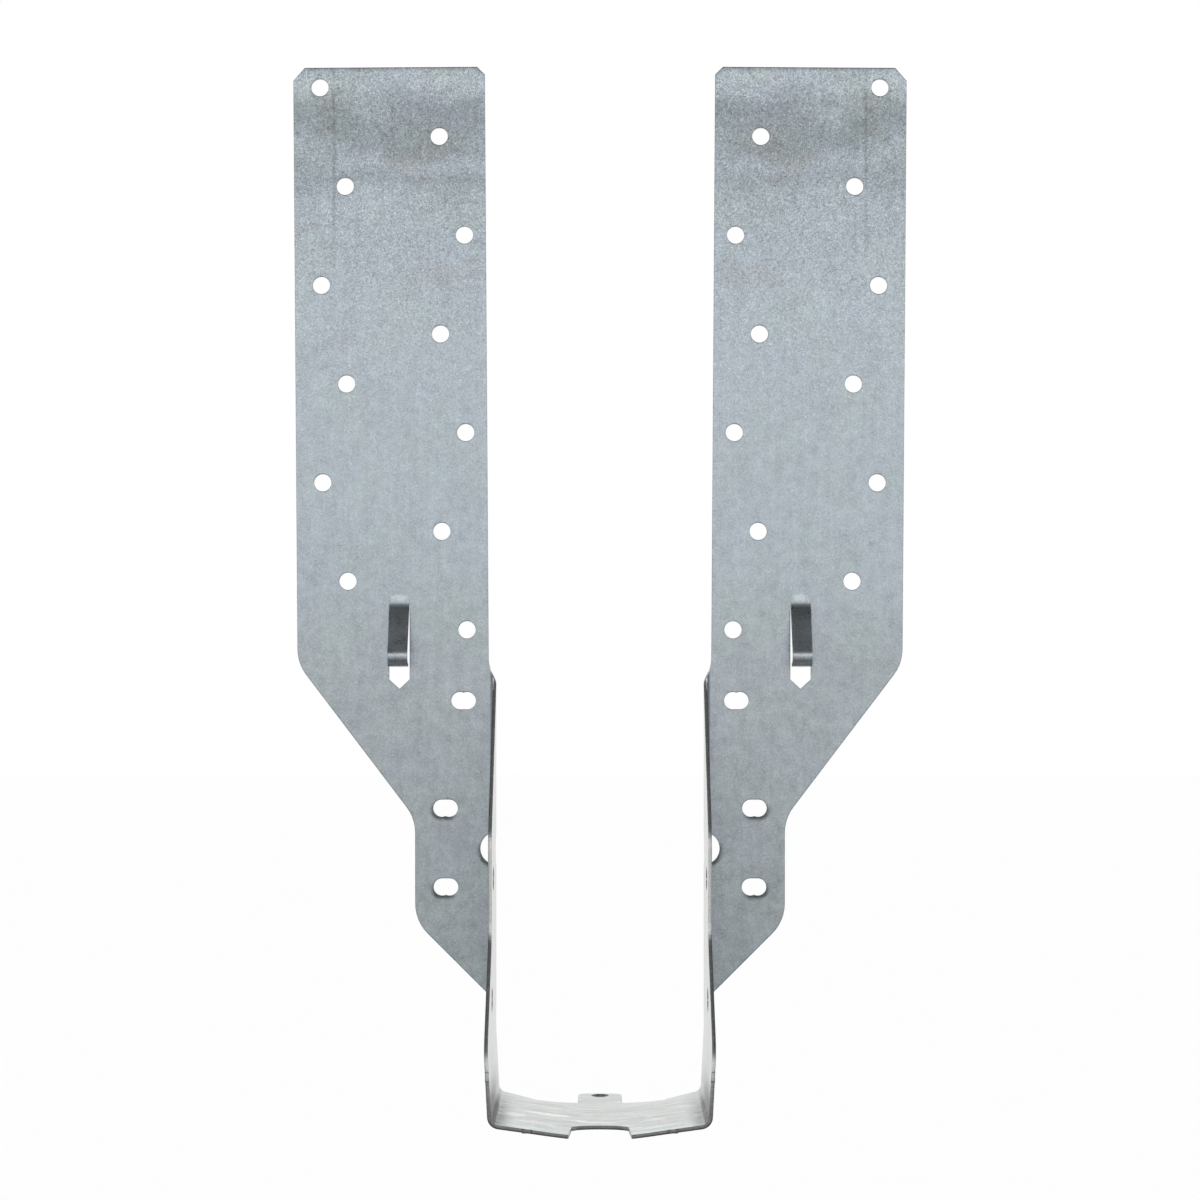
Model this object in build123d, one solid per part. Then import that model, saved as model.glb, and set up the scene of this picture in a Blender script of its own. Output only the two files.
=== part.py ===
from build123d import *
from math import cos, hypot, pi, radians, sin, tan
import os

# A face-fixed joist hanger, cut and folded from one blank of galvanised sheet. Sizes are in millimetres.
# The joist lies along Y and is centred on X = 0. The backs of the two header straps lie on the plane
# Y = 0, the legs and the seat stand out towards -Y, and the inner corners of the seat are at Z = 0.
# A depth is measured from the plane Y = 0 towards -Y.

SHEET = 0.9                 # thickness of the sheet

# Cross-section of the legs and the seat
LEG_HALF_GAP = 26.25        # from the middle to the inner face of an upright leg
CORNER_HALF_GAP = 25.4      # the same at the inner corner of the seat
LEAN_HEIGHT = 17.0          # below this height the leg leans in towards the seat
LEAN_RADIUS = 90.0
CORNER_RADIUS = 2.0         # inside radius of the corner between leg and seat
KNUCKLE_HALF = 16.0         # from the middle to the place where the seat's slope changes
FLAT_HALF = 7.0             # half the width of the level middle of the seat
FRONT_KNUCKLE_DROP = 1.3    # how far the seat lies below its corners in front
FRONT_MIDDLE_DROP = 2.5
BACK_KNUCKLE_DROP = 2.3     # and at its back edge, where it is pressed down towards the tab
BACK_MIDDLE_DROP = 3.15
PRESSED_LENGTH = 9.5        # length of the pressed-down stretch

# The fold between leg and strap, and the strap's splayed edges
FOLD_RADIUS = 1.0           # inside radius
FOLD_STEPS = 12             # sections that the fold is made from
STRAP_WIDTH = 48.5          # the seat has the same width along the joist
STRAP_SPLAY = 0.36          # degrees that the strap leans outwards
STRAP_INSET = 0.06          # from the end of the fold to the strap's inner edge
BACK_DEPTH = 4.26           # depth of the back edge of the seat
STRAP_LENGTH = 153.2        # along the inner edge, from the strap's foot to its top
OUTER_CHAMFER_WIDTH = 2.9
OUTER_CHAMFER_HEIGHT = 3.3
INNER_CHAMFER = 1.95

# Both long edges of the blank step in from the strap to the seat in the same way, listed from below
SHOULDER_HEIGHT = 16.95     # where the front edge of the leg starts to slant back
SHOULDER_RUN = 23.4         # how far that slant reaches, upwards as well as back
UPRIGHT_RISE = 26.05        # the straight stretch above it
SLANT_RISE = 39.3           # height of the long slant, which ends at the strap's foot
OUTER_RISE = 2.1            # how much higher the steps of the outer edge lie
EDGE_RADIUS = 10.8          # radius of the corners between these stretches

# Round nail holes in the strap: four staggered columns, one hole to a row
NAIL_HOLE = 4.4
ROW_COUNT = 12
TOP_ROW = 5.0               # from the top of the strap to the first row
BOTTOM_ROW = 10.7           # from the strap's foot to the last row
COLUMN_PITCH = 6.22         # between the two columns beside one edge
INNER_COLUMN = 5.45         # from the strap's inner edge to the nearest column
OUTER_COLUMN = 6.72         # from its outer edge to the nearest column

# Slotted holes: distance from the leg's inner face, and from the strap's foot down
SLOT_LENGTH = 6.25
SLOT_WIDTH = 4.4
HIGH_SLOT = (8.35, 7.3)
MIDDLE_SLOT = (12.95, 34.6)
LOW_SLOT = (12.85, 54.6)

# Relief hole on the fold, and the nail holes in the leg
RELIEF_RADIUS = 4.1
RELIEF_DOWN = 44.8          # from the strap's foot down
RELIEF_SHIFT = 0.75         # from the middle of the fold towards the leg, along the sheet
UPPER_LEG_HOLE = (20.0, 54.8)       # depth and height
LOWER_LEG_HOLE = (27.4, 25.9)

# The prong: a pointed tongue, bent out of the strap and back towards the header
PRONG_FROM_EDGE = 22.55     # from the strap's inner edge to the middle of the prong
PRONG_ROOT_UP = 18.2        # from the strap's foot up to the root of the tongue
PRONG_SLOT_LENGTH = 22.4
PRONG_SLOT_WIDTH = 5.16
PRONG_POINT_ANGLE = 47.0    # degrees on each side of the point
PRONG_CLEARANCE = 0.08      # between the tongue and each side of its slot
PRONG_LEAN = 30.0           # degrees that the tongue leans out
PRONG_LEAN_LENGTH = 12.6    # straight length of the leaning stretch
PRONG_RETURN = 118.0        # degrees that its end turns back
PRONG_ROOT_RADIUS = 3.5     # inside radius of the bend at the root
PRONG_BEND_RADIUS = 1.8     # and of the bend where it turns back
PRONG_TIP_LENGTH = 3.4      # straight length of the pointed end

# Notch, tab and shear marks of the seat
NOTCH_MOUTH_HALF = 7.4      # half the width of the notch in the front edge
NOTCH_BACK_HALF = 6.75      # and at its back
NOTCH_DEPTH = 10.6
NOTCH_ARCH = 3.8            # how much deeper the notch is in its middle
NOTCH_RADIUS = 1.9
NOTCH_MOUTH_RADIUS = 0.6    # of the corners where the notch meets the front edge
TAB_ROOT_HALF = 5.65        # half the width of the tab where it leaves the back edge
TAB_END_HALF = 5.5          # and at its end
TAB_LENGTH = 14.8
TAB_RADIUS = 2.8
TAB_HOLE_FROM_END = 2.9
NICK_HALF = 15.9            # from the middle to the nick where the carrier strip was sheared off
NICK_WIDTH = 3.6
NICK_DEPTH = 1.4
SEAT_NIB_HALF = 17.1        # from the middle to the nib that it left on the front edge
LEG_NIB_HEIGHT = 11.1
NIB_WIDTH = 2.2
NIB_DEPTH = 0.35

# Worked out from the values above
FOLD_REACH = FOLD_RADIUS + SHEET                    # from a folded face to where the flat begins
FOLD_CENTRE = LEG_HALF_GAP + FOLD_REACH
HALF_FOLD = pi / 4 * (FOLD_RADIUS + SHEET / 2)      # half the length of sheet in the fold
MARGIN = 20.0                                       # how far a cutter reaches past what it cuts
STRAP_FOOT = SHOULDER_HEIGHT + SHOULDER_RUN + UPRIGHT_RISE + SLANT_RISE
STRAP_EDGE = HALF_FOLD + STRAP_INSET
FRONT_DEPTH = BACK_DEPTH + STRAP_WIDTH
SLANT_RUN = FRONT_DEPTH + STRAP_EDGE + HALF_FOLD - FOLD_REACH - SHOULDER_RUN
ROW_PITCH = (STRAP_LENGTH - TOP_ROW - BOTTOM_ROW) / (ROW_COUNT - 1)
LEG_TOP = STRAP_FOOT + MARGIN
SEAT_TOP = LEAN_HEIGHT / 3                          # the seat and its corners are made up to here
LEAN = (LEG_HALF_GAP - CORNER_HALF_GAP) / LEAN_HEIGHT


# In the flat blank, X runs along the sheet from the middle of the fold, with the strap on its plus
# side and the leg on its minus side, and Y is the height above the seat's inner corner.

def on_strap(across, up):
    """A point of the blank: across the splayed strap from its inner edge, and up from its foot."""
    splay = radians(STRAP_SPLAY)
    return (
        STRAP_EDGE + across * cos(splay) + up * sin(splay),
        STRAP_FOOT - across * sin(splay) + up * cos(splay),
    )


def beside_leg(from_leg, down):
    """A point of the blank on the header plane, from the leg's inner face and down from the strap's foot."""
    return (from_leg - FOLD_REACH + HALF_FOLD, STRAP_FOOT - down)


def on_leg(depth, height):
    """A point of the blank on the leg, from its depth and height once it is folded."""
    return (FOLD_REACH - HALF_FOLD - depth, height)


def stepped_edge(x, top):
    """The corners of one long edge of the blank, from the strap's foot down past the seat."""
    slant_end = (x - SLANT_RUN, top - SLANT_RISE)
    upright_end = (slant_end[0], slant_end[1] - UPRIGHT_RISE)
    shoulder_end = (slant_end[0] - SHOULDER_RUN, upright_end[1] - SHOULDER_RUN)
    return [(x, top), slant_end, upright_end, shoulder_end, (shoulder_end[0], -MARGIN)]


def punched_slot(centre, flat_side):
    """A slot of two overlapping punch hits: one long side is straight and the other keeps a cusp."""
    offset = (SLOT_LENGTH - SLOT_WIDTH) / 2
    hits = Pos(-offset, 0) * Circle(SLOT_WIDTH / 2) + Pos(offset, 0) * Circle(SLOT_WIDTH / 2)
    web = Pos(0, flat_side * SLOT_WIDTH / 4) * Rectangle(2 * offset, SLOT_WIDTH / 2)
    return Pos(*centre) * (hits + web)


def pointed_strip(width, length):
    """A strip that hangs down from the origin and ends in the prong's point."""
    half = width / 2
    shoulder = half / tan(radians(PRONG_POINT_ANGLE)) - length
    return make_face(Polyline((-half, 0), (half, 0), (half, shoulder), (0, -length), (-half, shoulder), close=True))


def half_blank():
    """One half of the flat blank, from the strap's top to below the seat, with all that is punched in it."""
    inner_edge = stepped_edge(STRAP_EDGE, STRAP_FOOT)
    outer_edge = stepped_edge(STRAP_EDGE + STRAP_WIDTH, STRAP_FOOT + OUTER_RISE)
    top = [
        on_strap(0, STRAP_LENGTH - INNER_CHAMFER),
        on_strap(INNER_CHAMFER, STRAP_LENGTH),
        on_strap(STRAP_WIDTH - OUTER_CHAMFER_WIDTH, STRAP_LENGTH),
        on_strap(STRAP_WIDTH, STRAP_LENGTH - OUTER_CHAMFER_HEIGHT),
    ]
    rounded = [EDGE_RADIUS] * 4
    sheet = make_face(FilletPolyline(
        *reversed(inner_edge), *top, *outer_edge,
        radius=[0, *rounded, *[0] * len(top), *rounded, 0],
        close=True,
    ))

    columns = (
        STRAP_WIDTH - OUTER_COLUMN,
        INNER_COLUMN + COLUMN_PITCH,
        STRAP_WIDTH - OUTER_COLUMN - COLUMN_PITCH,
        INNER_COLUMN,
    )
    for row in range(ROW_COUNT):
        centre = on_strap(columns[row % len(columns)], STRAP_LENGTH - TOP_ROW - row * ROW_PITCH)
        sheet -= Pos(*centre) * Circle(NAIL_HOLE / 2)
    for hole in (UPPER_LEG_HOLE, LOWER_LEG_HOLE):
        sheet -= Pos(*on_leg(*hole)) * Circle(NAIL_HOLE / 2)
    sheet -= punched_slot(beside_leg(*HIGH_SLOT), -1)
    sheet -= punched_slot(beside_leg(*MIDDLE_SLOT), 1)
    sheet -= punched_slot(beside_leg(*LOW_SLOT), 1)
    sheet -= Pos(-RELIEF_SHIFT, STRAP_FOOT - RELIEF_DOWN) * Circle(RELIEF_RADIUS)
    sheet -= Pos(*on_strap(PRONG_FROM_EDGE, PRONG_ROOT_UP)) * pointed_strip(PRONG_SLOT_WIDTH, PRONG_SLOT_LENGTH)
    return sheet


def stretches(sheet, x):
    """The lowest and highest point of each stretch of the blank on one upright line."""
    line = Edge.make_line((x, -2 * MARGIN), (x, STRAP_FOOT + STRAP_LENGTH + MARGIN))
    boxes = [edge.bounding_box() for edge in (line & sheet.face()).edges()]
    return sorted((box.min.Y, box.max.Y) for box in boxes)


def strap(sheet):
    """The part of the blank that lies on the header."""
    tall = STRAP_FOOT + STRAP_LENGTH + MARGIN
    wide = STRAP_WIDTH + FOLD_REACH + MARGIN
    beyond_fold = Pos(HALF_FOLD + wide / 2, tall / 2) * Rectangle(wide, tall)
    return extrude(Plane.XZ * Pos(FOLD_CENTRE - HALF_FOLD, 0) * (sheet & beyond_fold), SHEET)


def fold(sheet):
    """The quarter turn from strap to leg. Its ends follow the blank's edges and relief hole round the bend."""
    quarter = Pos(-FOLD_REACH / 2, FOLD_REACH / 2) * Rectangle(FOLD_REACH, FOLD_REACH)
    ring = extrude((Circle(FOLD_REACH) - Circle(FOLD_RADIUS)) & quarter, LEG_TOP)
    sections = []
    for step in range(FOLD_STEPS + 1):
        part_way = step / FOLD_STEPS
        turn = pi / 2 * part_way
        outward = Vector(-sin(turn), cos(turn))
        station = Plane((0, 0, 0), x_dir=outward, z_dir=outward.cross(Vector(0, 0, 1)))
        spans = stretches(sheet, HALF_FOLD * (1 - 2 * part_way))
        sections.append([
            (station * Pos(FOLD_RADIUS + SHEET / 2, (low + high) / 2) * Rectangle(2 * SHEET, high - low)).face()
            for low, high in spans
        ])
    pieces = [ring & loft(stretch) for stretch in zip(*sections)]
    return Pos(FOLD_CENTRE, -FOLD_REACH) * (Part() + pieces)


def upright_legs():
    """The walls of both legs above the seat's corners, uncut."""
    out = SHEET * hypot(1, LEAN)
    lean_out = LEAN_HEIGHT + (SHEET - out) / LEAN
    lean_at_seat = CORNER_HALF_GAP + LEAN * SEAT_TOP
    wall = make_face(FilletPolyline(
        (lean_at_seat, SEAT_TOP),
        (LEG_HALF_GAP, LEAN_HEIGHT),
        (LEG_HALF_GAP, LEG_TOP),
        (LEG_HALF_GAP + SHEET, LEG_TOP),
        (LEG_HALF_GAP + SHEET, lean_out),
        (lean_at_seat + out, SEAT_TOP),
        radius=[0, LEAN_RADIUS, 0, 0, LEAN_RADIUS + SHEET, 0],
        close=True,
    ))
    leg = Pos(0, -FOLD_REACH) * extrude(Plane.XZ * wall, FRONT_DEPTH - FOLD_REACH)
    return leg + mirror(leg, Plane.YZ)


def seat_section(knuckle_drop, middle_drop):
    """The sheet's section across the joist: round one corner, under the joist and round the other corner."""
    slope = knuckle_drop / (CORNER_HALF_GAP - KNUCKLE_HALF)
    out = SHEET * hypot(1, LEAN)
    down = SHEET * hypot(1, slope)
    corner_below = (slope * out - down) / (1 - slope * LEAN)
    seat_x = CORNER_HALF_GAP - 2 * CORNER_RADIUS
    seat_z = -2 * CORNER_RADIUS * slope
    half_middle = [(KNUCKLE_HALF, -knuckle_drop), (FLAT_HALF, -middle_drop)]

    def side(offset_x, offset_z, corner, radius):
        bend = FilletPolyline(
            (CORNER_HALF_GAP + LEAN * SEAT_TOP + offset_x, SEAT_TOP),
            corner,
            (seat_x, seat_z - offset_z),
            radius=radius,
        )
        points = [(seat_x, seat_z), *half_middle]
        points += [(-x, z) for x, z in reversed(points)]
        under = Spline(
            *[(x, z - offset_z) for x, z in points],
            tangents=[(-1, -slope), (-1, slope)],
        )
        return [*bend.edges(), under, *mirror(bend, Plane.YZ).edges()]

    inner = side(0, 0, (CORNER_HALF_GAP, 0), CORNER_RADIUS)
    outer = side(out, down, (CORNER_HALF_GAP + LEAN * corner_below + out, corner_below), CORNER_RADIUS + SHEET)
    top = CORNER_HALF_GAP + LEAN * SEAT_TOP
    ends = [Line((x, SEAT_TOP), (x + sign * out, SEAT_TOP)) for x, sign in ((top, 1), (-top, -1))]
    return Plane.XZ * make_face([*inner, *outer, *ends])


def legs_and_seat(sheet):
    """The sheet that holds the joist, cut to the edges and holes of the blank."""
    front = seat_section(FRONT_KNUCKLE_DROP, FRONT_MIDDLE_DROP)
    back = seat_section(BACK_KNUCKLE_DROP, BACK_MIDDLE_DROP)
    press_start = BACK_DEPTH + PRESSED_LENGTH
    body = upright_legs()
    body += Pos(0, -press_start) * extrude(front, FRONT_DEPTH - press_start)
    body += loft([(Pos(0, -press_start) * front).face(), (Pos(0, -BACK_DEPTH) * back).face()], ruled=True)
    before_fold = Pos(-HALF_FOLD - STRAP_WIDTH, 0) * Rectangle(2 * STRAP_WIDTH, 2 * LEG_TOP)
    outline = Plane.YZ * Pos(HALF_FOLD - FOLD_REACH, 0) * (sheet & before_fold)
    return body & extrude(outline, LEG_HALF_GAP + MARGIN, both=True)


def notch():
    """The cutter for the notch in the seat's front edge. It flares out along that edge."""
    back = NOTCH_DEPTH - FRONT_DEPTH
    flare = NOTCH_MOUTH_HALF + 2 * NOTCH_MOUTH_RADIUS
    corners = [
        (NOTCH_BACK_HALF, back),
        (NOTCH_MOUTH_HALF, -FRONT_DEPTH),
        (flare, -FRONT_DEPTH),
        (flare, -FRONT_DEPTH - MARGIN),
    ]
    outline = make_face([
        *Polyline(*corners, *[(-x, y) for x, y in reversed(corners)]).edges(),
        ThreePointArc((-NOTCH_BACK_HALF, back), (0, back + NOTCH_ARCH), (NOTCH_BACK_HALF, back)),
    ])
    outline = fillet(outline.vertices().group_by(Axis.Y)[-1], NOTCH_RADIUS)
    mouth = outline.vertices().group_by(Axis.Y)[1].sort_by(Axis.X)
    return extrude(fillet(mouth[1:3], NOTCH_MOUTH_RADIUS), MARGIN, both=True)


def tab():
    """The tab with its nail hole, which carries the middle of the seat's back edge on under the header."""
    end = TAB_LENGTH - BACK_DEPTH
    outline = make_face(FilletPolyline(
        (-TAB_ROOT_HALF, -BACK_DEPTH), (-TAB_END_HALF, end), (TAB_END_HALF, end), (TAB_ROOT_HALF, -BACK_DEPTH),
        radius=[0, TAB_RADIUS, TAB_RADIUS, 0],
        close=True,
    ))
    outline -= Pos(0, end - TAB_HOLE_FROM_END) * Circle(NAIL_HOLE / 2)
    seat = Pos(0, -BACK_DEPTH) * extrude(seat_section(BACK_KNUCKLE_DROP, BACK_MIDDLE_DROP), -TAB_LENGTH)
    return seat & extrude(outline, MARGIN, both=True)


def shear_nicks():
    """The cutters for the nicks in the seat's back edge."""
    nick = make_face(Polyline((-NICK_WIDTH / 2, 0), (NICK_WIDTH / 2, 0), (0, -NICK_DEPTH), close=True))
    nick = Pos(NICK_HALF, -BACK_DEPTH) * extrude(nick, MARGIN, both=True)
    return nick + mirror(nick, Plane.YZ)


def shear_nibs():
    """The nibs that stand proud of the front edges of the seat and the legs."""
    front = -FRONT_DEPTH - NIB_DEPTH / 2
    seat_slope = FRONT_MIDDLE_DROP / (CORNER_HALF_GAP - FLAT_HALF)
    seat_z = seat_slope * (SEAT_NIB_HALF - CORNER_HALF_GAP) - SHEET / 2
    leg_x = CORNER_HALF_GAP + LEAN * LEG_NIB_HEIGHT + SHEET / 2
    nibs = Pos(SEAT_NIB_HALF, front, seat_z) * Box(NIB_WIDTH, NIB_DEPTH, SHEET)
    nibs += Pos(leg_x, front, LEG_NIB_HEIGHT) * Box(SHEET, NIB_DEPTH, NIB_WIDTH)
    return nibs + mirror(nibs, Plane.YZ)


def prong():
    """The tongue, bent out from the strap's back face at the origin and back again, with its pointed end."""
    half_width = PRONG_SLOT_WIDTH / 2 - PRONG_CLEARANCE
    point = half_width / tan(radians(PRONG_POINT_ANGLE))
    at_root = (PRONG_ROOT_RADIUS + SHEET) * tan(radians(PRONG_LEAN / 2))
    at_return = PRONG_BEND_RADIUS * tan(radians(PRONG_RETURN / 2))
    courses = [
        (0, SHEET + at_root),
        (PRONG_LEAN, at_root + PRONG_LEAN_LENGTH + at_return),
        (PRONG_LEAN - PRONG_RETURN, at_return + PRONG_TIP_LENGTH - point),
    ]
    angles = [radians(angle) for angle, length in courses]
    back = [Vector(0, SHEET)]
    for angle, (degrees, length) in zip(angles, courses):
        back.append(back[-1] + Vector(sin(angle), -cos(angle)) * length)
    normals = [Vector(cos(angle), sin(angle)) for angle in [angles[0], *angles, angles[-1]]]
    front = []
    for corner, before, after in zip(back, normals, normals[1:]):
        front.append(corner + (before + after) * (SHEET / (1 + before.dot(after))))
    outline = make_face(FilletPolyline(
        *back, *reversed(front),
        radius=[
            0, PRONG_ROOT_RADIUS + SHEET, PRONG_BEND_RADIUS, 0,
            0, PRONG_BEND_RADIUS + SHEET, PRONG_ROOT_RADIUS, 0,
        ],
        close=True,
    ))
    side_view = Plane((0, 0, 0), x_dir=(0, -1, 0), z_dir=(-1, 0, 0))
    tongue = extrude(side_view * outline, half_width, both=True)
    end = back[-1]
    tip_plane = Plane((0, -end.X, end.Y), x_dir=(1, 0, 0), z_dir=(0, -normals[-1].X, normals[-1].Y))
    tip = make_face(Polyline((-half_width, 0), (half_width, 0), (0, -point), close=True))
    tongue += extrude(tip_plane * tip, SHEET)
    return tongue


blank = half_blank()
root_x, root_height = on_strap(PRONG_FROM_EDGE, PRONG_ROOT_UP)
right = strap(blank) + fold(blank) + Pos(FOLD_CENTRE - HALF_FOLD + root_x, 0, root_height) * prong()
hanger = legs_and_seat(blank) + tab() - notch() - shear_nicks() + shear_nibs()
hanger += right + mirror(right, Plane.YZ)

os.makedirs("parts", exist_ok=True)
export_step(hanger, "parts/hanger_body.step")
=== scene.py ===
# %% [markdown]
# # A joist hanger on white
# A joist hanger is one blank of zinc-coated sheet steel. A press punches its nail holes, folds its two
# straps outwards and rolls its seat round, and the end of a floor joist drops in between the legs.
# The shape is already exact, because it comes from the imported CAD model. What is left to do here is what
# CAD can't give: the skin of zinc, the raw sheared edges, the room that the metal mirrors, and the camera.

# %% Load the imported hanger
import math

import bpy
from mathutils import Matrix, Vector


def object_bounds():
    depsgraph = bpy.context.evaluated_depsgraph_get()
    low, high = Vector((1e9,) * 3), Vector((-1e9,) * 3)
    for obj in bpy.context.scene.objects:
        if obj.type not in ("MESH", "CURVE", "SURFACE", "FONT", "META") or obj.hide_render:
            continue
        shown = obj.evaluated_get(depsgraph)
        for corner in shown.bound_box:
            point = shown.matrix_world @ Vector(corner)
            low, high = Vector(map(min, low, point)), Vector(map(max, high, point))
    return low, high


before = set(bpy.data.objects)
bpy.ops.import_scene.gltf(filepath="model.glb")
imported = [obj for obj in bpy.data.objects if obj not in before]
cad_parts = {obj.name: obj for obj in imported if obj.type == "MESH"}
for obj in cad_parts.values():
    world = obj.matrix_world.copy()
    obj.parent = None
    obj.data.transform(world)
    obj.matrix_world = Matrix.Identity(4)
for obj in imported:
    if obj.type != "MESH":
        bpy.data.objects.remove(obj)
cad_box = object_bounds()
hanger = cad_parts["hanger_body"]
print("hanger:", len(hanger.data.polygons), "triangles")
print("box in metres:", [tuple(round(v, 4) for v in corner) for corner in cad_box])

# %% [markdown]
# ## Writing shader maths as sums
# A finish is a pile of small sums: this mask times that grain, one minus the other. Written node by node
# they can't be read back. So a number that varies over the surface is wrapped in a class that knows +, -,
# * and /, and each operator adds one Math node. Every other node goes through one method, `add`, which
# takes the node's type, its settings and what its sockets are fed.


# %% A value on the surface, and the sheet of nodes it lives in
class Varying:
    """The output socket of a node, which can be used in sums like a plain number."""

    def __init__(self, nodes, socket):
        self.nodes = nodes
        self.socket = socket

    def sum_with(self, operation, first, second):
        return self.nodes.add("ShaderNodeMath", {"operation": operation}, {0: first, 1: second})

    def __add__(self, other):
        return self.sum_with("ADD", self, other)

    def __sub__(self, other):
        return self.sum_with("SUBTRACT", self, other)

    def __mul__(self, other):
        return self.sum_with("MULTIPLY", self, other)

    def __truediv__(self, other):
        return self.sum_with("DIVIDE", self, other)

    def __rsub__(self, other):
        return self.sum_with("SUBTRACT", other, self)

    def __abs__(self):
        return self.sum_with("ABSOLUTE", self, 0.0)

    def __gt__(self, limit):
        return self.sum_with("GREATER_THAN", self, limit)

    def __lt__(self, limit):
        return self.sum_with("LESS_THAN", self, limit)

    __radd__ = __add__
    __rmul__ = __mul__


class Nodes:
    """The node tree of one material or of the world, emptied and ready to be filled."""

    def __init__(self, owner):
        owner.use_nodes = True
        self.tree = owner.node_tree
        self.tree.nodes.clear()

    def add(self, kind, settings=None, sockets=None, output=0):
        node = self.tree.nodes.new(kind)
        for name, setting in (settings or {}).items():
            if name == "stops":
                self.set_stops(node.color_ramp.elements, setting)
            else:
                setattr(node, name, setting)
        for name, given in (sockets or {}).items():
            if isinstance(given, Varying):
                self.tree.links.new(given.socket, node.inputs[name])
            else:
                node.inputs[name].default_value = given
        return Varying(self, node.outputs[output]) if node.outputs else node

    def set_stops(self, elements, stops):
        """Fill a Color Ramp with greys. A new stop may start anywhere, since it is moved to its place."""
        while len(elements) < len(stops):
            elements.new(0.5)
        for element, (position, level) in zip(elements, stops):
            element.position = position
            element.color = (level, level, level, 1.0)


print("operators ready: + - * / abs > <")

# %% [markdown]
# ## Where on the sheet are we?
# The hanger stands at the origin of its own frame, so object coordinates are real places. They are turned
# into millimetres here: `across` runs from strap to strap, `depth` is 0 on the face of the beam and
# negative over the joist, and `height` counts upwards. The two halves are alike, so most masks read `side`,
# the distance from the middle.

# %% Places and directions
MM_PER_METRE = 1000.0
X, Y, Z = range(3)
zinc = bpy.data.materials.new("zinc_coated_sheet")
skin = Nodes(zinc)


def along(vector, axis):
    return vector.nodes.add("ShaderNodeSeparateXYZ", {}, {0: vector}, axis)


def split(vector):
    return [along(vector, axis) for axis in (X, Y, Z)]


place = skin.add("ShaderNodeTexCoord", output="Object")
across, depth, height = [axis * MM_PER_METRE for axis in split(place)]
side = abs(across)
true_normal = skin.add("ShaderNodeNewGeometry", output="True Normal")
normal_x, normal_y, normal_z = split(true_normal)
facing_x, facing_y, facing_z = [abs(axis) for axis in (normal_x, normal_y, normal_z)]
front_face = normal_y < 0.0
print("places in millimetres, and the way each face looks")

# %% [markdown]
# ## Strap, leg, seat and cut edge
# The same zinc covers the whole sheet, but it doesn't look the same everywhere. The straps came off the
# coil with their length along Z, the seat with its length along X, and the sheared edges show bare steel.
# Simple comparisons tell them apart. Each gives a mask, which is 1 where it holds and 0 elsewhere, so that
# a product of masks reads as "and".

# %% Masks for the parts of the sheet
STRAP_SIDE = 28.15
SEAT_TOP = 5.0
MIDDLE_LINE = 40.0
FOLD_FRONT = -2.5
TAB_SIDE = 8.6
# Limits for how squarely a face looks along an axis, where 0 is not at all and 1 is straight
ACROSS_STRAP = 0.3
ACROSS_LEG = 0.6
LEG_UPWARDS = 0.3
SEAT_FORWARDS = 0.4
TAB_UPWARDS = 0.5


def either(first, second):
    return first + second > 0.5


def clamped_sum(first, second):
    return first.nodes.add("ShaderNodeMath", {"operation": "ADD", "use_clamp": True}, {0: first, 1: second})


on_strap = side > STRAP_SIDE
in_trough = side < STRAP_SIDE
on_seat = height < SEAT_TOP
on_leg = in_trough * (height > SEAT_TOP)
# The trough's inner face looks towards a line that runs along its middle, some way above the seat
inner_face = (normal_z * (MIDDLE_LINE - height) - normal_x * across > 0.0) * in_trough

# A cut edge faces along the sheet: not along Y on a strap, not along X on a leg, and along Y on the seat.
# Round the notch and the tab, where the sheet lies level, all that doesn't face up or down is cut.
strap_edge = on_strap * (facing_y < ACROSS_STRAP)
leg_edge = on_leg * (facing_x < ACROSS_LEG) * either(facing_z > LEG_UPWARDS, depth < FOLD_FRONT)
level_edge = (side < TAB_SIDE) * (facing_z < TAB_UPWARDS)
seat_edge = on_seat * in_trough * either(facing_y > SEAT_FORWARDS, level_edge)
cut_edge = clamped_sum(strap_edge + leg_edge, seat_edge)
print("straps from", STRAP_SIDE, "mm outwards, seat below", SEAT_TOP, "mm")

# %% [markdown]
# ## The grain of hot-dip zinc
# Seen close, a zinc coating is a crowd of tiny crystals, here about half a millimetre across, each a shade
# lighter or darker than its neighbour. A noise texture gives them, and its distortion bends them into short
# strokes. Over them lie faint lines that the rolling mill drew along the strip: the same noise, stretched.
# Noise reads the place in millimetres, so a scale of 1.9 means about 1.9 waves to a millimetre.

# %% Crystals and rolling lines
CRYSTAL_SCALE = 1.9
STROKE_SCALE = 2.5
BLOTCH_SCALE = 0.35
ROLLING_SCALE = 0.6
ROLLING_STRETCH = 0.07
CRYSTAL_CONTRAST = (0.28, 0.70)
STROKE_PEAKS = (0.02, 0.20)


def noise(where, scale, detail, distortion=0.0):
    fields = {"Vector": where, "Scale": scale, "Detail": detail, "Distortion": distortion}
    return skin.add("ShaderNodeTexNoise", {}, fields)


def ripple(where, scale, detail, distortion=0.0):
    """Noise that swings round 0 instead of 0.5."""
    return noise(where, scale, detail, distortion) - 0.5


def combine(x, y, z):
    return skin.add("ShaderNodeCombineXYZ", {}, {0: x, 1: y, 2: z})


def pick(mask, otherwise, chosen):
    return otherwise + (chosen - otherwise) * mask


def step_over(value, low, high):
    """0 at low and 1 at high, with a soft change between them."""
    fields = {"Value": value, "From Min": low, "From Max": high}
    return value.nodes.add("ShaderNodeMapRange", {"interpolation_type": "SMOOTHSTEP"}, fields)


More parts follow.
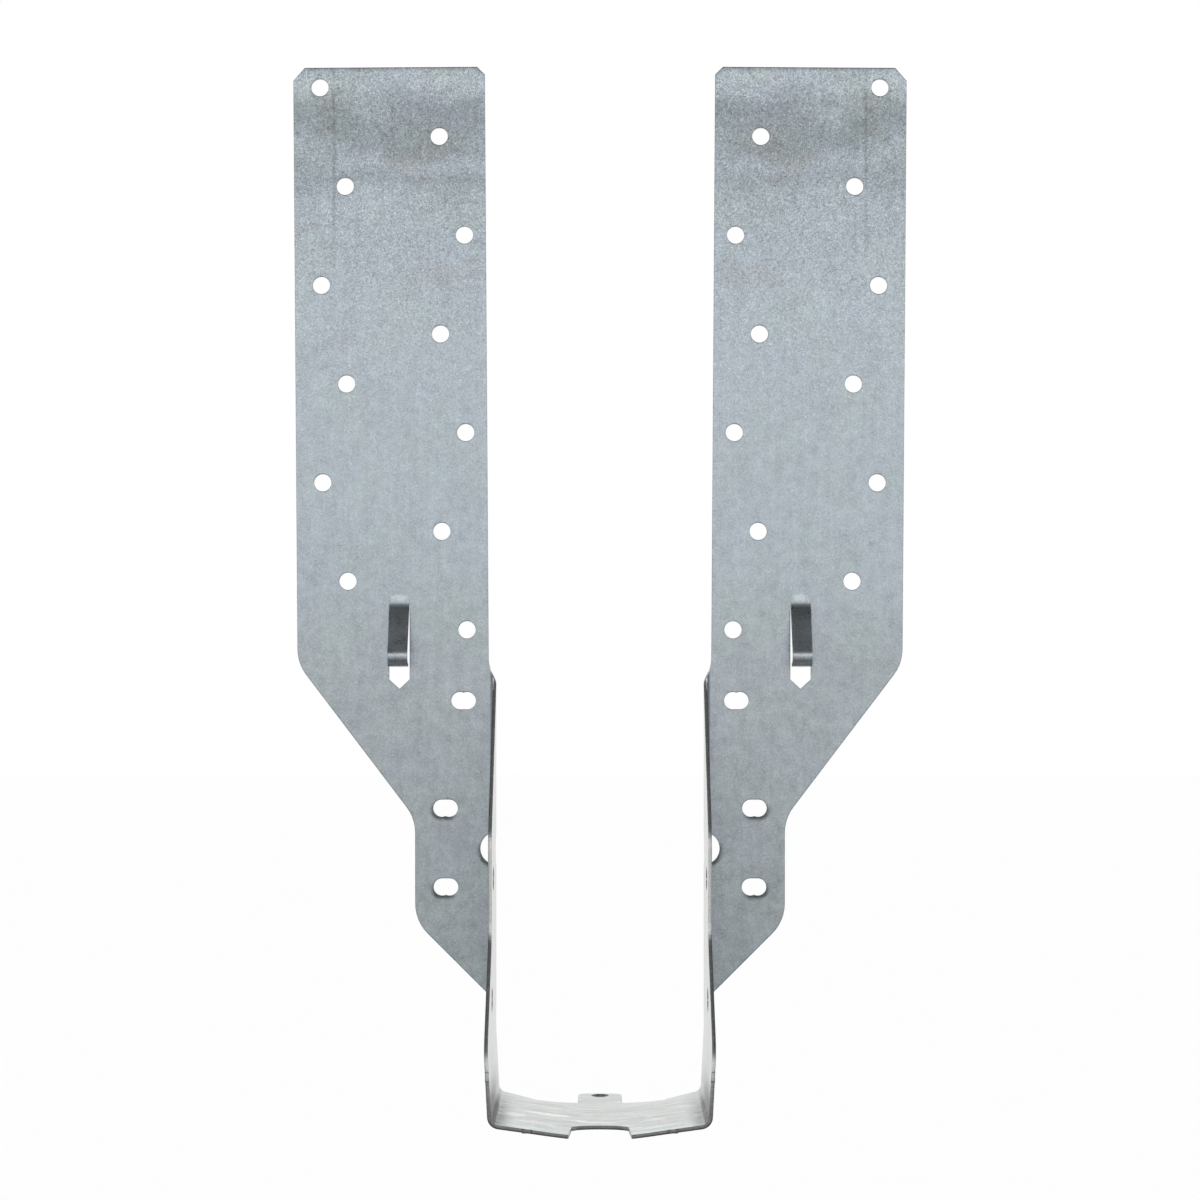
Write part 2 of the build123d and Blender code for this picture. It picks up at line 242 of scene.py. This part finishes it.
whole_place = combine(across, depth, height)
crystals = step_over(noise(whole_place, CRYSTAL_SCALE, 2.0, 1.6), *CRYSTAL_CONTRAST) - 0.5
strokes = step_over(ripple(whole_place, STROKE_SCALE, 1.0, 1.2), *STROKE_PEAKS)
blotches = ripple(whole_place, BLOTCH_SCALE, 3.0)

over_strip = pick(on_strap, depth, across)
along_strip = pick(on_seat, height, across)
rolling = ripple(combine(over_strip, along_strip * ROLLING_STRETCH, 0.0), ROLLING_SCALE, 4.0, 0.4)
print("crystals about", round(1 / CRYSTAL_SCALE, 2), "mm across, rolling lines along the strip")

# %% [markdown]
# ## Streaks in the seat
# The seat is rubbed from side to side: fine scuffs all over it, and brighter scratches in a band round its
# middle. Noise turns into streaks when the place that it reads is squeezed along one axis, and a soft step
# keeps only its peaks. The scratches read X itself, since scratches aren't the same left and right.

# %% Scuffs and scratches
SCUFF_SQUEEZE = 0.25
SCRATCH_SQUEEZE = 0.4
SCRATCH_SLICE = 4.0
SCUFF_PEAKS = (0.53, 0.66)
SCRATCH_PEAKS = (0.50, 0.68)
BAND_FRONT = (-49.0, -40.0)
BAND_BACK = (-16.0, -30.0)
scuff_noise = noise(combine(across * SCUFF_SQUEEZE, depth, height), 0.9, 3.0, 0.8)
scuffs = step_over(scuff_noise, *SCUFF_PEAKS) * on_seat
scratch_noise = noise(combine(across * SCRATCH_SQUEEZE, depth, SCRATCH_SLICE), 0.3, 4.0, 0.5)
scratches = step_over(scratch_noise, *SCRATCH_PEAKS) * on_seat
scratches = scratches * step_over(depth, *BAND_FRONT) * step_over(depth, *BAND_BACK)
print("scratches between", BAND_FRONT[0], "mm and", BAND_BACK[0], "mm along the joist")

# %% [markdown]
# ## Painted reflection bands near the top of the straps
# The upper quarter of each strap has soft bands, darker and lighter in turn, painted into its tone: a
# painted reflection of an uneven room. A Color Ramp turns the height into that tone. A wide noise is added
# to the height first, and that makes the bands wander and break up. The noise reads the distance from the
# middle instead of X, so that both straps get the same bands. The grain is also coarser up here, with
# brownish patches, and a last wide noise tells where on the sheet the zinc's hue changes.

# %% Painted reflection bands, patches and hues
REFLECTION_BAND_LOW = 200.0
REFLECTION_BAND_HIGH = 260.0
REFLECTION_BAND_WANDER = 34.0
REFLECTION_BAND_STOPS = [
    (0.00, 1.0), (0.25, 0.98), (0.38, 0.96), (0.50, 0.80), (0.60, 0.93),
    (0.72, 0.72), (0.80, 0.74), (0.89, 1.0), (0.97, 1.08),
]
BAND_AND_PATCH_SQUEEZE = 0.6
COARSE_RISE = (150.0, 245.0)
PATCH_PEAKS = (0.52, 0.70)
HUE_SLICE = 11.0
mirrored_place = combine(side * BAND_AND_PATCH_SQUEEZE, 0.0, height)
wander = ripple(mirrored_place, 0.06, 3.0)
reflection_band_height = (height + wander * REFLECTION_BAND_WANDER - REFLECTION_BAND_LOW) / (REFLECTION_BAND_HIGH - REFLECTION_BAND_LOW)
# Painted reflection: darker and lighter bands painted into the zinc's tone
painted_reflection_bands = skin.add("ShaderNodeValToRGB", {"stops": REFLECTION_BAND_STOPS}, {0: reflection_band_height})
coarse = step_over(height, *COARSE_RISE)
brown_patches = step_over(noise(mirrored_place, 0.09, 2.0), *PATCH_PEAKS) * coarse
hues = noise(combine(side, HUE_SLICE, height), 0.07, 3.0)
print("clouds from", REFLECTION_BAND_LOW, "mm to", REFLECTION_BAND_HIGH, "mm")

# %% [markdown]
# ## Marks on the front of the straps
# A line is scribed down the upper part of each strap and has worn away in places. Lower down a prong is
# bent out of the strap. Where its root bulges forward, a small bright spot is a painted highlight, and the
# stretch that leans out is painted a shade lighter, with painted shade towards that root. These marks have
# a fixed place, so distances from it are all that they need.

# %% The scribed line and the prongs
SCRIBED_SIDE = 67.4
SCRIBED_WIDTH = (0.6, 0.15)
SCRIBED_FOOT = (195.0, 235.0)
PRONG_SIDE = 50.9
PRONG_HALF_WIDTH = 2.7
PRONG_FRONT = -1.3
PRONG_BEND = 105.0
PRONG_ROOT = 123.6
PRONG_PAINTED_LIGHT = 0.10
ROOT_PAINTED_SHADE = 0.34
ROOT_RISE = (115.5, 122.0)
SPOT_HEIGHT = 124.5
SPOT_HALF_HEIGHT = 1.15
SPOT_FADE = (1.0, 0.35)
UNWORN_PEAKS = (0.30, 0.55)


def length(vector):
    return vector.nodes.add("ShaderNodeVectorMath", {"operation": "LENGTH"}, {0: vector}, "Value")


unworn = step_over(noise(mirrored_place, 0.25, 2.0), *UNWORN_PEAKS)
scribed = step_over(abs(side - SCRIBED_SIDE), *SCRIBED_WIDTH) * step_over(height, *SCRIBED_FOOT)
scribed = scribed * front_face * unworn
from_prong = abs(side - PRONG_SIDE)
# Painted highlight at the prong's root, and painted shade on the prong's leaning stretch
spot_place = combine(from_prong / PRONG_HALF_WIDTH, 0.0, (height - SPOT_HEIGHT) / SPOT_HALF_HEIGHT)
root_painted_highlight = step_over(length(spot_place), *SPOT_FADE) * front_face
on_prong = (from_prong < PRONG_HALF_WIDTH) * (depth < PRONG_FRONT)
on_prong = on_prong * (height < PRONG_ROOT) * (height > PRONG_BEND)
prong_painted_light = 1.0 + on_prong * (PRONG_PAINTED_LIGHT - step_over(height, *ROOT_RISE) * ROOT_PAINTED_SHADE)
print("line", SCRIBED_SIDE, "mm and prong", PRONG_SIDE, "mm from the middle")

# %% [markdown]
# ## Painted shade where the sheet was bent
# Where the sheet is bent hard, painted shade darkens the zinc and makes it rougher and less metallic: in
# the corner between leg and seat, and in the sharp fold between leg and strap. The corner is found by its
# direction, since only there the surface faces sideways as much as upwards. The painted shade is darkest
# on the leg's side of the bend and towards the front, and a ragged band of it reaches a little way up the
# leg. The sharp fold is found by its place.

# %% Painted shade in the folds
CORNER_TOP = 14.0
CORNER_SIDE = 18.0
CORNER_TURN = (0.15, 0.44)
LEG_HALF = (-0.45, 0.10)
SHADE_TO_FRONT = (-6.0, -42.0)
LEG_SHADE_TOP = (10.5, 4.0)
FAINT_LEG_SHADE_TOP = (20.0, 7.0)
LEG_SHADE_SIDE = (20.0, 25.5)
FOLD_SIDE = 26.9
FOLD_FADE = (28.2, 27.5)
FOLD_DEPTH = -3.0
FOLD_TOP = (106.2, 104.6)
STRAP_FOLD_SHADE = 0.85
smooth_normal = skin.add("ShaderNodeNewGeometry", output="Normal")
smooth_x, smooth_z = [abs(along(smooth_normal, axis)) for axis in (X, Z)]
toward_front = step_over(depth, *SHADE_TO_FRONT) * 0.85 + 0.15
leg_half = step_over(smooth_x - smooth_z, *LEG_HALF)
in_corner = (height < CORNER_TOP) * (side > CORNER_SIDE)
corner_fold = step_over(smooth_x * smooth_z, *CORNER_TURN) * leg_half * in_corner
ragged = 0.5 + rolling * 0.9 + blotches
up_the_leg = step_over(height, *LEG_SHADE_TOP) * ragged + step_over(height, *FAINT_LEG_SHADE_TOP) * 0.10
leg_shade = up_the_leg * step_over(side, *LEG_SHADE_SIDE) * inner_face
corners = corner_fold * toward_front * (1.05 + blotches + rolling) + leg_shade * toward_front
strap_fold = (side > FOLD_SIDE) * step_over(side, *FOLD_FADE) * (depth > FOLD_DEPTH)
strap_fold = strap_fold * step_over(height, *FOLD_TOP)
fold_painted_shade = clamped_sum(corners, strap_fold * STRAP_FOLD_SHADE)
print("dull in the corners below", LEG_SHADE_TOP[0], "mm and in the folds below", FOLD_TOP[0], "mm")

# %% [markdown]
# ## Rims and burnished edges
# The punch turned the sheet's edges over by a hair. A Bevel node gives the normal of such a rounded edge:
# the more it differs from the true normal, the closer is the edge, and the rims are painted darker there as
# painted shade. A wider Bevel tells which way the edge lies, and low on the straps and at their tops the
# rims that lean up or inwards get the darkest painted shade. Shears also burnish the half of an edge that
# they enter first, here the front of a strap and the trough's inside.

# %% Rims and the two halves of an edge
RIM_RADIUS = 0.0004
WIDE_RADIUS = 0.0024
LOW_RIMS = (96.0, 90.0)
TOP_RIMS = (254.0, 260.0)
RIM_LEAN = (0.05, 0.6)
SQUARE_ON = 0.9
TORN_TO_BURNISHED = (-0.35, 0.35)
DOT = {"operation": "DOT_PRODUCT"}
rounded = skin.add("ShaderNodeBevel", {"samples": 6}, {"Radius": RIM_RADIUS})
rim = 1.0 - skin.add("ShaderNodeVectorMath", DOT, {0: rounded, 1: true_normal}, "Value")
lean_x, lean_y, lean_z = split(skin.add("ShaderNodeBevel", {"samples": 8}, {"Radius": WIDE_RADIUS}))
lean_out = lean_x * across / side
dark_rims = step_over(height, *LOW_RIMS) * 0.85 + step_over(height, *TOP_RIMS) * 0.4
# Painted shade on rims that lean up or inwards, low on the straps and at their tops
rim_painted_shade = step_over(lean_z - lean_out * 0.7, *RIM_LEAN) * (facing_y > SQUARE_ON) * on_strap * dark_rims
trough_half = pick(on_seat, 0.0 - lean_out, lean_z)
burnished = step_over(pick(on_strap, trough_half, 0.0 - lean_y), *TORN_TO_BURNISHED)
print("rims", RIM_RADIUS * MM_PER_METRE, "mm wide, darkest below", LOW_RIMS[0], "mm")

# %% [markdown]
# ## Nail holes in the legs
# The legs are seen almost edge on, and their nail holes show only as thin dark slots. The wall of each
# hole lies in shade inside the narrow hole, and it and a ring round it on the inner face are painted dark
# and dull as painted shade, so both are masked here by the distance from the middle of each hole.

# %% Painted shade round the holes
LEG_HOLES = [(-20.0, 54.8), (-27.4, 25.9)]
RING_REACH = 3.2
RING_FADE = 0.5


def ring(hole_depth, hole_height):
    """1 at a hole in the leg and just round it, and 0 from the reach onwards."""
    apart = combine(0.0, depth - hole_depth, height - hole_height)
    return step_over(length(apart), RING_REACH, RING_REACH - RING_FADE) * on_leg


upper_ring, lower_ring = [ring(*middle) for middle in LEG_HOLES]
hole_painted_shade = (upper_ring + lower_ring) * (normal_x * across < 0.0)
print("dull rings round", len(LEG_HOLES), "holes in each leg")

# %% [markdown]
# ## Mixing the colour
# The zinc is a light, slightly blue grey that turns to lilac here and to green there, and it is warmer
# and darker inside the trough and low on the straps. Brown patches and the painted shade of the folds go
# over it in turn. Colours are mixed by Mix nodes, because a Math node would turn them grey.

# %% Tints of the zinc
ZINC = (0.58, 0.655, 0.712)
LILAC_ZINC = (0.588, 0.651, 0.716)
GREEN_ZINC = (0.580, 0.660, 0.694)
WARM_ZINC = (0.50, 0.522, 0.505)
BROWN = (0.50, 0.51, 0.49)
FOLD_SHADE_ZINC = (0.15, 0.152, 0.15)
LOW_ON_STRAP = (135.0, 105.0)
WARM_TROUGH = (-50.0, -38.0)
LILAC_BELOW = (0.55, 0.38)
GREEN_ABOVE = (0.45, 0.62)
PATCH_STRENGTH = 0.45


def mix_colour(amount, first, second):
    """A Mix node for colours. Its colour sockets are numbers 6 and 7 and its colour output is number 2."""
    first, second = [c if isinstance(c, Varying) else (*c, 1.0) for c in (first, second)]
    return amount.nodes.add("ShaderNodeMix", {"data_type": "RGBA"}, {0: amount, 6: first, 7: second}, 2)


low_on_strap = step_over(height, *LOW_ON_STRAP) * on_strap
warmer_share = inner_face * (step_over(depth, *WARM_TROUGH) * 0.4 + 0.6) + low_on_strap * 0.25
with_lilac = mix_colour(step_over(hues, *LILAC_BELOW), ZINC, LILAC_ZINC)
hued = mix_colour(step_over(hues, *GREEN_ABOVE), with_lilac, GREEN_ZINC)
clean = mix_colour(warmer_share, hued, WARM_ZINC)
patched = mix_colour(brown_patches * PATCH_STRENGTH, clean, BROWN)
# Painted shade in the folds and corners darkens the colour here
with_fold_shade = mix_colour(fold_painted_shade, patched, FOLD_SHADE_ZINC)
print("zinc", ZINC, "warmer_share", WARM_ZINC, "with_fold_shade", FOLD_SHADE_ZINC)

# %% [markdown]
# ## Lighter and darker
# Everything that makes the zinc lighter or darker is worked out as one number. The kinds of grain swing
# round 0, so they are added to 1, and the painted reflection bands, the scribed line and the prongs'
# painted highlight and painted shade multiply that. A Vector Math node then scales the colour by the
# result.

# %% Shade of the zinc
SCRIBED_DARKER = 0.22
ROOT_HIGHLIGHT_STRENGTH = 0.35


def scale_colour(tint, factor):
    return skin.add("ShaderNodeVectorMath", {"operation": "SCALE"}, {0: tint, "Scale": factor})


crystal_grain = crystals * (0.27 + coarse * 0.40)
stroke_grain = (strokes - 0.3) * (0.20 + coarse * 0.25)
blotch_grain = blotches * (0.50 - coarse * 0.05)
seat_grain = (scuffs * 0.2 + scratches * 0.36 - on_seat * 0.11) * inner_face
rolling_grain = rolling * pick(on_strap, on_seat * inner_face * 0.6 + 0.3, 0.2)
grain = crystal_grain + stroke_grain + blotch_grain + seat_grain + rolling_grain
# The painted reflection bands and the prongs' painted highlight and painted shade join the scribed line
# here
marks = painted_reflection_bands * (1.0 - scribed * SCRIBED_DARKER) * (1.0 + root_painted_highlight * ROOT_HIGHLIGHT_STRENGTH) * prong_painted_light
zinc_colour = scale_colour(with_fold_shade, (1.0 + grain) * marks)
print("scribed line", SCRIBED_DARKER, "darker, spots at the prongs", ROOT_HIGHLIGHT_STRENGTH, "lighter")

# %% [markdown]
# ## The sheared edges
# An edge has two halves: the burnished one is bright, and the torn one is dark and rough. On the straps
# both keep their tone. In the trough the edges are darker, most of all round the seat, but where a leg's
# front edge runs straight up it is painted much lighter, a painted reflection of the bright horizon.

# %% Colour of the edges, and all colours together
CUT_STEEL = (0.48, 0.485, 0.485)
TORN_TONE = 0.45
BURNISHED_TONE = 0.9
SEAT_EDGE_TONE = 0.66
CORNER_EDGE_LIGHTER = 0.24
UPRIGHT_EDGE_LIGHTER = 1.1
CORNER_RISE = (3.0, 9.0)
UPRIGHT_RISE = (9.0, 12.0)
LEVEL_LOOK = (0.5, 0.1)
sheared = ripple(combine(across, depth, height * 2.0), 1.6, 3.0)
upright_edge = step_over(height, *UPRIGHT_RISE) * step_over(facing_z, *LEVEL_LOOK)
trough_edge_tone = SEAT_EDGE_TONE + step_over(height, *CORNER_RISE) * CORNER_EDGE_LIGHTER
# Painted reflection: upright stretches of the legs' front edges painted lighter
trough_edge_tone = trough_edge_tone + upright_edge * UPRIGHT_EDGE_LIGHTER
edge_tone = pick(on_strap, trough_edge_tone, 1.0)
edge_shade = (burnished * BURNISHED_TONE + TORN_TONE) * (1.0 + sheared * 1.2) * edge_tone
# Painted shade: the edges' rims, the rims that lean up or inwards and the holes are painted darker
darker_rim = (1.0 - rim * 1.6) * (1.0 - rim_painted_shade) * (1.0 - hole_painted_shade * (cut_edge * 0.37 + 0.6))
colour = mix_colour(cut_edge, zinc_colour, scale_colour(CUT_STEEL, edge_shade))
colour = scale_colour(colour, darker_rim)
print("cut steel", CUT_STEEL)

# %% [markdown]
# ## Gloss and relief
# Zinc this fresh is a metal that still mirrors, but softly. Its roughness wanders a little with the
# crystals and is higher in the folds, on the cut edges and round the legs' holes. The relief is only a few
# hundredths of a millimetre, so it stays in a Bump node and the mesh keeps its exact shape.

# %% The finished material
PLAIN_ROUGHNESS = 0.30
PLAIN_METALLIC = 0.95
RELIEF = {"Strength": 0.25, "Distance": 0.00004}
roughness = PLAIN_ROUGHNESS + blotches * 0.12 + crystals * 0.03
# The painted shade of the folds and of the holes also raises the roughness and lowers the metallic
roughness = roughness + fold_painted_shade * 0.25 + cut_edge * 0.06 + hole_painted_shade * 0.62
metallic = PLAIN_METALLIC - fold_painted_shade * 0.7 - cut_edge * 0.05 - hole_painted_shade * 0.8
relief = skin.add("ShaderNodeBump", {}, {**RELIEF, "Height": crystals * 0.2 + rolling, "Normal": rounded})
surface = skin.add(
    "ShaderNodeBsdfPrincipled",
    {},
    {"Base Color": colour, "Roughness": roughness, "Normal": relief, "Metallic": metallic},
)
skin.add("ShaderNodeOutputMaterial", {}, {"Surface": surface})
for slot in hanger.material_slots:
    slot.material = zinc
print("material on", len(hanger.material_slots), "slot, roughness about", PLAIN_ROUGHNESS)

# %% [markdown]
# ## The room that the metal mirrors
# Metal has next to no look of its own: it shows its surroundings. In the photograph the sheet faces a
# bright, low horizon, so flat faces are light and faces seen at a glance are nearly white, while anything
# that leans back and faces the ceiling is dark. So the world is bright near the horizon and dark overhead,
# and brighter behind the hanger than in front of it. The camera itself sees plain white, by way of the
# Light Path node.

# %% The world
WHITE = (1.0, 1.0, 1.0)
BRIGHTER_BEHIND = 0.25
FRONT_TO_BACK = (0.4, 0.6)
FRONT_STOPS = [
    (0.0, 0.3), (0.44, 0.46), (0.50, 0.82), (0.56, 1.0), (0.64, 0.85),
    (0.72, 0.30), (0.82, 0.06), (0.88, 0.03), (1.0, 0.08),
]
BACK_STOPS = [(0.0, 0.9), (0.50, 1.0), (0.70, 1.0), (0.80, 0.5), (0.90, 0.14), (1.0, 0.10)]
world = bpy.data.worlds.new("studio")
bpy.context.scene.world = world
room = Nodes(world)
camera_ray = room.add("ShaderNodeLightPath", output="Is Camera Ray")
direction = room.add("ShaderNodeTexCoord", output="Generated")
# A direction's parts run from -1 to 1, and a ramp reads from 0 to 1
behind, rise = [along(direction, axis) * 0.5 + 0.5 for axis in (Y, Z)]
front = room.add("ShaderNodeValToRGB", {"stops": FRONT_STOPS}, {0: rise})
back = room.add("ShaderNodeValToRGB", {"stops": BACK_STOPS}, {0: rise})
turn = step_over(behind, *FRONT_TO_BACK)
seen = mix_colour(camera_ray, mix_colour(turn, front, back), WHITE)
strength = camera_ray + (1 - camera_ray) * (turn * BRIGHTER_BEHIND + 1.0)
backdrop = room.add("ShaderNodeBackground", {}, {"Color": seen, "Strength": strength})
room.add("ShaderNodeOutputWorld", {}, {"Surface": backdrop})
print("world: bright horizon, dark ceiling")

# %% [markdown]
# ## The floor
# The hanger is a thing that hangs on a beam, so it doesn't stand on the floor: the pale floor lies some way
# below it and only catches its soft shadow. Most of what the camera sees of it is the same white as the
# backdrop, and the rest is lit plaster, so the shadow stays visible from above. Metal mirrors a floor that
# is darker right below the hanger and in front of it.

# %% Floor
FLOOR_DROP = 0.16
FLOOR_SIZE = 12.0
PLASTER = (0.8, 0.8, 0.8, 1.0)
WHITE_SHARE = 0.8
FAR_SIDE = (-0.3, 0.1)
AWAY = (0.15, 0.8)


def plane(name, size, centre):
    half = size / 2
    corners = [(-half, -half, 0), (half, -half, 0), (half, half, 0), (-half, half, 0)]
    mesh = bpy.data.meshes.new(name)
    mesh.from_pydata(corners, [], [(0, 1, 2, 3)])
    made = bpy.data.objects.new(name, mesh)
    made.location = centre
    bpy.context.collection.objects.link(made)
    return made


floor = plane("floor", FLOOR_SIZE, (0.0, 0.0, cad_box[0].z - FLOOR_DROP))
plaster = bpy.data.materials.new("pale_floor")
pale = Nodes(plaster)
to_camera = pale.add("ShaderNodeLightPath", output="Is Camera Ray")
to_mirror = pale.add("ShaderNodeLightPath", output="Is Glossy Ray")
floor_place = pale.add("ShaderNodeTexCoord", output="Object")
far_side = step_over(along(floor_place, Y), *FAR_SIDE)
away = step_over(length(floor_place), *AWAY)
mirrored_floor = (far_side * 0.75 + 0.42) * (away * 0.85 + 0.15)
lit = pale.add("ShaderNodeBsdfDiffuse", {}, {"Color": PLASTER})
glow = pale.add("ShaderNodeEmission", {}, {"Color": to_camera + to_mirror * mirrored_floor})
share = to_camera * WHITE_SHARE + to_mirror
mixed = pale.add("ShaderNodeMixShader", {}, {0: share, 1: lit, 2: glow})
pale.add("ShaderNodeOutputMaterial", {}, {"Surface": mixed})
floor.data.materials.append(plaster)
print("floor", FLOOR_DROP, "m below the seat")

# %% [markdown]
# ## The lamp
# One wide sun stands in for the soft light from above. Its light is spread wide, so that it draws no hard
# shadow, and the metal doesn't mirror it, because the room already gives every highlight.

# %% Lamp
LAMP_STRENGTH = 2.9
LAMP_SPREAD = 35.0
LAMP_TILT = (24.0, -18.0)
lamp = bpy.data.lights.new("soft_overhead", "SUN")
lamp.energy = LAMP_STRENGTH
lamp.angle = math.radians(LAMP_SPREAD)
overhead = bpy.data.objects.new("soft_overhead", lamp)
overhead.rotation_euler = (math.radians(LAMP_TILT[0]), math.radians(LAMP_TILT[1]), 0.0)
overhead.visible_glossy = False
bpy.context.collection.objects.link(overhead)
print("one soft lamp, which the metal doesn't mirror")

# %% [markdown]
# ## The camera
# The photograph was taken from near by, with the camera some ten centimetres above the seat and looking
# almost level: upright edges don't converge, and the seat's top is just in view. Such a camera would put
# the hanger too high in the picture, so the lens is shifted upwards, as on a view camera. Every other view
# keeps the shift, so it is kept small, and a slightly longer lens from further off makes up for it.

# %% Camera
FOCAL_PIXELS = 2535.6
IMAGE_PIXELS = 1200
SENSOR = 36.0
SHIFT_UP = 0.075
CAMERA_PLACE = (0.0, -0.6440, 0.1057)
PITCH_DOWN = 0.41
lens = bpy.data.cameras.new("camera")
lens.sensor_width = SENSOR
lens.lens = FOCAL_PIXELS / IMAGE_PIXELS * SENSOR
lens.shift_y = SHIFT_UP
camera = bpy.data.objects.new("camera", lens)
camera.location = CAMERA_PLACE
camera.rotation_euler = (math.radians(90.0 - PITCH_DOWN), 0.0, 0.0)
bpy.context.collection.objects.link(camera)
bpy.context.scene.camera = camera
bpy.context.scene.view_settings.view_transform = "Standard"
print("lens", round(lens.lens, 2), "mm, shift", SHIFT_UP)
